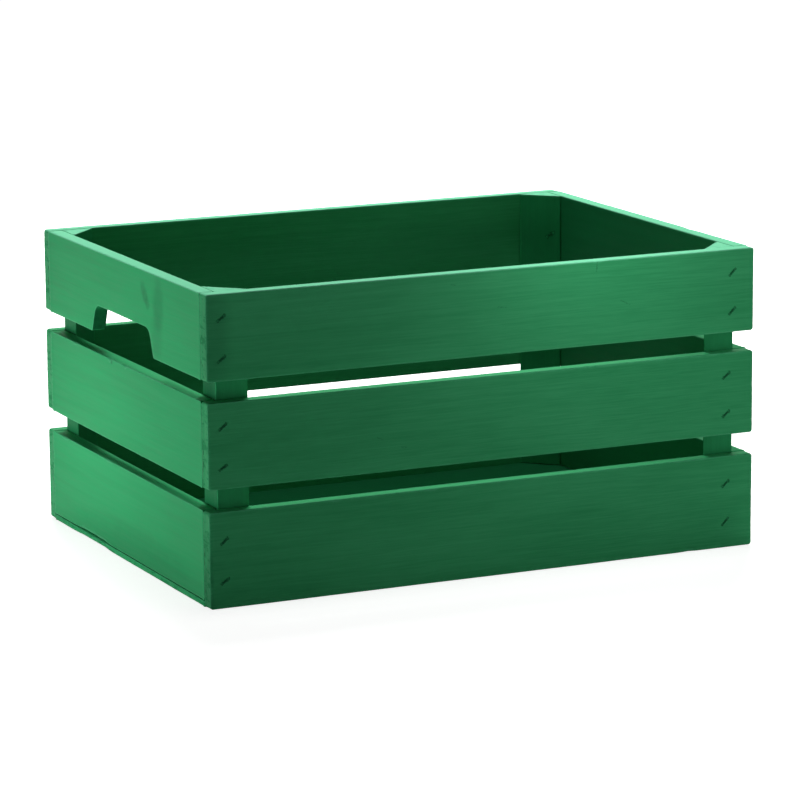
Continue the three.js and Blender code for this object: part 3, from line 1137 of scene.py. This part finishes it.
def timber_paint(
    name,
    line_width,
    clouds,
    fibres=0.2,
    painted_sheen=0.0,
    inside_shade_darker=0.5,
    inside_shade_at_rim=0.2,
    through_gaps=0.0,
    shade_darker=0.0,
    end_grain_and_shade_darker=0.0,
    wear=0.5,
    grain_height=1.0,
    stains_and_shade=(),
    scratches=(),
):
    """The painted finish of one kind of timber."""
    material = bpy.data.materials.new(name)
    material.use_nodes = True
    tree = material.node_tree
    shader = tree.nodes["Principled BSDF"]
    in_wood, in_crate = (noted(tree, label, "Vector") for label in ("in_wood", "in_crate"))
    worn, sawn, coat = (noted(tree, label) for label in ("worn", "sawn", "skin"))

    grain = place_group(tree, grain_group, {"In Wood": in_wood, "Line Width": line_width})
    cloud = place_group(tree, clouds_group, {"In Wood": in_wood, "Size": clouds})["Thickness"]
    bare = place_group(tree, wear_group, {"In Crate": in_crate, "Worn": worn, "Amount": wear})["Bare"]
    ends = place_group(tree, sawn_group, {"In Crate": in_crate, "Sawn": sawn})

    tone_floor = TONE_MEAN - (LINES_SHARE + CLOUD_SHARE + fibres) / 2
    shares = (grain["Lines"], LINES_SHARE), (cloud, CLOUD_SHARE), (grain["Fibres"], fibres)
    tone = add_up(tree, tone_floor, *shares)
    colour = mix_colour(tree, tone, PAINT_DEEP, PAINT_LIGHT)
    # Painted sheen: a faint grey is mixed over the long boards' colour, more where the tone is lighter.
    if painted_sheen:
        colour = mix_colour(tree, add_up(tree, painted_sheen / 2, (tone, painted_sheen)), colour, PAINTED_SHEEN)
    colour = cover(tree, colour, bare, WORN_STRENGTH, PAINT_THIN)
    colour = cover(tree, colour, ends["Pits"], PIT_STRENGTH, PAINT_DARK)
    # Stains, and soft blots of painted shade, laid on in the dark paint.
    for middle, half_size, strength in stains_and_shade:
        feeds = {"In Crate": in_crate, "Middle": middle, "Half Size": half_size}
        stain_and_shade_mask = place_group(tree, stain_and_shade_group, feeds)["Mask"]
        colour = cover(tree, colour, stain_and_shade_mask, strength, PAINT_DARK)
    scuffs = 0.0
    for start, end, width, strength in scratches:
        feeds = {"In Crate": in_crate, "Start": start, "End": end, "Width": width}
        scuffs = add_up(tree, scuffs, (place_group(tree, scratch_group, feeds)["Mask"], strength))
    if scratches:
        colour = mix_colour(tree, scuffs, colour, PAINT_DARK)
    # Painted shade: the cut walls of the staple slots and tears, off the skin, are darkened.
    slot_shade = fade(tree, coat, SLOT_FROM, SLOT_TO, 0.0, SLOT_SHADE_STRENGTH)
    colour = mix_colour(tree, slot_shade, colour, PAINT_DARK)
    # Painted shade on the faces of the posts and the floor panel. Sawn ends darken a little as end grain,
    # and on the end boards much more as painted shade.
    face_shade_and_end_grain = fade(tree, sawn, ON_FACE, ON_SAWN, shade_darker, end_grain_and_shade_darker)
    colour = mix_colour(tree, face_shade_and_end_grain, colour, PAINT_DARK)
    feeds = {"In Crate": in_crate, "At Rim": inside_shade_at_rim, "Through Gaps": through_gaps}
    # Painted shade: the inner faces darken from the rim down.
    inside = place_group(tree, inside_shade_group, feeds)["Mask"]
    colour = cover(tree, colour, inside, inside_shade_darker, PAINT_DARK)
    height = add_node(tree, "SeparateXYZ", {0: in_crate}).outputs["Z"]
    # Painted highlight: the top of every piece at the rim is laid over with a pale green.
    rim = fade(tree, height, RIM_HIGHLIGHT_FROM, RIM_HIGHLIGHT_TO, 0.0, RIM_HIGHLIGHT_STRENGTH)
    colour = mix_colour(tree, rim, colour, PAINT_RIM_HIGHLIGHT)
    tree.links.new(colour, shader.inputs["Base Color"])

    shares = (grain["Fibres"], ROUGH_FIBRES), (cloud, ROUGH_CLOUDS), (ends["Pits"], ROUGH_PITS)
    tree.links.new(add_up(tree, ROUGH_PAINT, *shares), shader.inputs["Roughness"])
    shader.inputs["Specular IOR Level"].default_value = PAINT_SPECULAR

    relief = add_up(tree, grain["Height"], (ends["Height"], PIT_RELIEF), (bare, BARE_RELIEF))
    if scratches:
        relief = add_up(tree, relief, (scuffs, SCUFF_RELIEF))
    feeds = {"Height": relief, "Strength": RELIEF_STRENGTH, "Distance": RELIEF_DEPTH * grain_height}
    bump = add_node(tree, "Bump", feeds)
    tree.links.new(bump.outputs["Normal"], shader.inputs["Normal"])
    return material


def mm(*place):
    """A place or a size given in millimetres."""
    return tuple(value * MM for value in place)


# The left end: a knot and its streak, a small dark spot at the middle board's top edge, and painted shade
# along the foot.
end_marks_and_painted_shade = [
    (mm(-200, -39.5, 194), mm(6, 5, 5), 0.28),
    (mm(-200, -43.5, 189), mm(6, 5.5, 5), 0.32),
    (mm(-200, -47, 185), mm(6, 4.5, 4.5), 0.28),
    (mm(-200, -66, 187), mm(6, 10.5, 20), 0.26),
    (mm(-200, -63, 165), mm(6, 11, 20), 0.16),
    (mm(-200, 20.5, 134), mm(3, 2, 1.6), 0.5),
    (mm(-200, -30, 0), mm(8, 140, 30), 0.3),
]
# Painted shade: the near corner's foot and the front's upper left corner.
long_board_painted_shade = [
    (mm(-201, -143, 5), mm(4, 8, 60), 0.5),
    (mm(-197, -148, 180), mm(16, 9, 42), 0.28),
]
# Painted shade: the near post in the upper gap.
post_painted_shade = [
    (mm(-190, -126, 142), mm(5, 14, 9), 0.5),
]
front_scratches = [
    (mm(98, -148, 178), mm(105, -148, 174.5), 0.7 * MM, 0.35),
    (mm(80, -148, 199), mm(80.5, -148, 205), 0.8 * MM, 0.5),
    (mm(7, -148, 181), mm(13, -148, 180), 0.8 * MM, 0.3),
    (mm(-81, -148, 102), mm(-77, -148, 100.5), 0.9 * MM, 0.3),
    (mm(-64, -148, 94), mm(-60, -148, 93.5), 0.8 * MM, 0.3),
    (mm(-27, -148, 198.5), mm(-24, -148, 198), 0.8 * MM, 0.3),
]
# Painted shade is set here: on the posts' faces and the floor panel, on the end boards' sawn ends, and on
# the inner faces.
finishes = {
    "long_board": timber_paint(
        "long_board_paint", 3.4 * MM, 0.045, fibres=0.42, painted_sheen=0.03, inside_shade_darker=0.46, end_grain_and_shade_darker=0.1,
        stains_and_shade=long_board_painted_shade, scratches=front_scratches),
    "end_board": timber_paint(
        "end_board_paint", 4.6 * MM, 0.06, inside_shade_darker=0.62, inside_shade_at_rim=0.9, end_grain_and_shade_darker=0.75,
        grain_height=0.7, stains_and_shade=end_marks_and_painted_shade),
    "corner_post": timber_paint(
        "corner_post_paint", 2.6 * MM, 0.03, inside_shade_darker=0.52, inside_shade_at_rim=0.35, through_gaps=1.7 * MM,
        shade_darker=0.16, stains_and_shade=post_painted_shade),
    "floor_panel": timber_paint("floor_panel_paint", 2.0 * MM, 0.03, shade_darker=0.4, wear=0.3),
}
for piece in [*boards, *posts, floor_panel]:
    piece.data.materials.clear()
    piece.data.materials.append(finishes[piece["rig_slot"]])
print("finishes:", sorted(finishes))

# %% [markdown]
# ## The paint on the staples
#
# The staples were painted over with the rest. Their crowns are painted a much darker green than the
# boards, as painted shade for the shade in their slots. At both ends of a crown the paint has run
# into the slot and filled it, so it looks like the paint on the board. A little steel shows where
# the crown was rubbed. Metal is a mask here, and not a second material, so one skin can be paint in
# one place and steel in another.

# %% Paint the staples
# painted shade: the crowns' dark green stands for the shade in their slots
STAPLE_SHADED_PAINT = (0.007, 0.105, 0.039, 1)
FILLED_PAINT = (0.022, 0.27, 0.10, 1)
FILLED_FROM, FILLED_TO = 0.2 * STAPLE_CROWN, 0.42 * STAPLE_CROWN
STEEL = (0.30, 0.34, 0.31, 1)
RUB_LUMPS, DRIP_LUMPS = 900.0, 2500.0
RUB_FROM, RUB_TO = 0.62, 0.72
RUB_STRENGTH = 0.2
DRIPS_FROM, DRIPS_TO = 0.2, 0.8
DRIPS_SMOOTH, DRIPS_ROUGH = 0.35, 0.6
DRIPS_STRENGTH = 0.5
DRIPS_DEPTH = 0.1 * MM

staple_paint = bpy.data.materials.new("staple_paint")
staple_paint.use_nodes = True
tree = staple_paint.node_tree
shader = tree.nodes["Principled BSDF"]
on_staple = add_node(tree, "TexCoord").outputs["Object"]
rubbed = fade(tree, noise_node(tree, on_staple, RUB_LUMPS, 3.0, 0.6), RUB_FROM, RUB_TO)
rubbed = math_node(tree, "MULTIPLY", rubbed, RUB_STRENGTH)
from_middle = math_node(tree, "ABSOLUTE", add_node(tree, "SeparateXYZ", {0: on_staple}).outputs["X"])
filled = fade(tree, from_middle, FILLED_FROM, FILLED_TO)
staple_colour = mix_colour(tree, filled, STAPLE_SHADED_PAINT, FILLED_PAINT)
tree.links.new(mix_colour(tree, rubbed, staple_colour, STEEL), shader.inputs["Base Color"])
tree.links.new(rubbed, shader.inputs["Metallic"])
drips = noise_node(tree, on_staple, DRIP_LUMPS)
rough = fade(tree, drips, DRIPS_FROM, DRIPS_TO, DRIPS_SMOOTH, DRIPS_ROUGH)
tree.links.new(rough, shader.inputs["Roughness"])
shader.inputs["Specular IOR Level"].default_value = PAINT_SPECULAR
feeds = {"Height": drips, "Strength": DRIPS_STRENGTH, "Distance": DRIPS_DEPTH}
bump = add_node(tree, "Bump", feeds)
tree.links.new(bump.outputs["Normal"], shader.inputs["Normal"])
wire.materials.append(staple_paint)
print("staple paint:", len(tree.nodes), "nodes")

# %% [markdown]
# ## The studio
#
# The crate stands on white paper in a white room. The paper could be lit until it is white, but
# that light would wash out the paint as well. So the camera, and whatever the paint and the steel
# reflect, see paper and room that are white by themselves. Close to the crate the paper's own white
# is turned down a little, so that the crate's soft shadow still shows on it.

# %% Lay the paper and paint the room
PAPER_REACH = 4.0
PAPER_DROP = 0.2 * MM
PAPER_COLOUR = (0.56, 0.56, 0.56, 1)
PAPER_WHITE_NEAR = 0.84
SHADOW_START, SHADOW_END = 0.3, 0.75


def sees_white(tree):
    """1 for the camera's rays, for reflected ones and for ones through glass, and 0 for the rest."""
    ray = add_node(tree, "LightPath").outputs
    seen = math_node(tree, "MAXIMUM", ray["Is Camera Ray"], ray["Is Glossy Ray"])
    return math_node(tree, "MAXIMUM", seen, ray["Is Transmission Ray"])


paper_corners = [(x * PAPER_REACH, y * PAPER_REACH, 0) for x, y in AROUND]
paper_mesh = bpy.data.meshes.new("paper")
paper_mesh.from_pydata(paper_corners, [], [(0, 1, 2, 3)])
paper = bpy.data.objects.new("paper", paper_mesh)
paper.location.z = -PAPER_DROP
bpy.context.scene.collection.objects.link(paper)

paper_finish = bpy.data.materials.new("white_paper")
paper_finish.use_nodes = True
tree = paper_finish.node_tree
shader = tree.nodes["Principled BSDF"]
shader.inputs["Base Color"].default_value = PAPER_COLOUR
shader.inputs["Roughness"].default_value = 1
shader.inputs["Specular IOR Level"].default_value = 0
from_crate = vector_node(tree, "LENGTH", add_node(tree, "TexCoord").outputs["Object"])
white = fade(tree, from_crate, SHADOW_START, SHADOW_END, PAPER_WHITE_NEAR, 1.0)
glow = add_node(tree, "Emission", {"Strength": math_node(tree, "MULTIPLY", white, sees_white(tree))})
both = add_node(tree, "AddShader", {0: shader.outputs[0], 1: glow.outputs[0]})
tree.links.new(both.outputs[0], tree.nodes["Material Output"].inputs["Surface"])
paper_mesh.materials.append(paper_finish)

room = bpy.data.worlds.new("white_room")
room.use_nodes = True
bpy.context.scene.world = room
background = room.node_tree.nodes["Background"]
background.inputs["Color"].default_value = (1, 1, 1, 1)
room.node_tree.links.new(sees_white(room.node_tree), background.inputs["Strength"])
bpy.context.scene.view_settings.view_transform = "Standard"
print("paper is", 2 * PAPER_REACH, "m wide")

# %% [markdown]
# ## The lamps
#
# In the photograph the light comes from above and behind, so the rim is bright, the left end is
# clear, and the front lies in soft shade that is lighter towards the right. A sun lamp would draw
# hard shadows. These lamps are round discs that are wide for their distance, like a soft box. Four
# stand behind and above the crate, two on its left and three in front. The small near ones have a
# narrow spread, so that their light fades over the front and the left end as it does in the
# photograph. The paint's shine reflects only three of the lamps: all of them would leave bright
# streaks on the ledges between the boards.

# %% Set up the lamps
# Where a lamp stands and what it aims at, in metres, its width, its spread in degrees, its watts.
LAMPS = {
    "rear_right": ((1.0, 1.5, 1.1), (0, 0, 0.1), 0.6, 180, 38.0),
    "rear": ((0.3, 1.8, 1.15), (0, 0, 0.1), 0.6, 180, 12.0),
    "above_far": ((0.3, 1.2, 2.2), (0, 0, 0.1), 0.5, 180, 28.0),
    "above": ((0.0, 0.0, 2.5), (0, 0, 0.1), 0.35, 180, 8.5),
    "left_low": ((-0.8, -0.12, 0.08), (-0.1, 0, 0.1), 0.25, 180, 1.85),
    "left_near": ((-0.44, 0.09, 0.07), (-0.2, 0.06, 0.07), 0.12, 90, 0.054),
    "front_low": ((0.45, -1.1, 0.06), (0.05, -0.15, 0.06), 0.4, 180, 1.85),
    "front_near": ((0.32, -0.52, 0.32), (0.14, -0.15, 0.16), 0.15, 80, 0.038),
    "front_edge": ((0.08, -0.24, 0.30), (0.08, -0.148, 0.195), 0.1, 120, 0.05),
}
SEEN_IN_PAINT = ("above_far", "above", "front_low")
for name, (place, aim, width, spread, watts) in LAMPS.items():
    lamp = bpy.data.lights.new(name, "AREA")
    lamp.shape = "DISK"
    lamp.size = width
    lamp.spread = math.radians(spread)
    lamp.energy = watts
    stand = bpy.data.objects.new(name, lamp)
    stand.location = place
    stand.rotation_euler = (Vector(aim) - Vector(place)).to_track_quat("-Z", "Y").to_euler()
    stand.visible_camera = False
    stand.visible_glossy = name in SEEN_IN_PAINT
    bpy.context.scene.collection.objects.link(stand)
print("lamps:", len(LAMPS), "watts in all:", round(sum(watts for *_, watts in LAMPS.values()), 1))
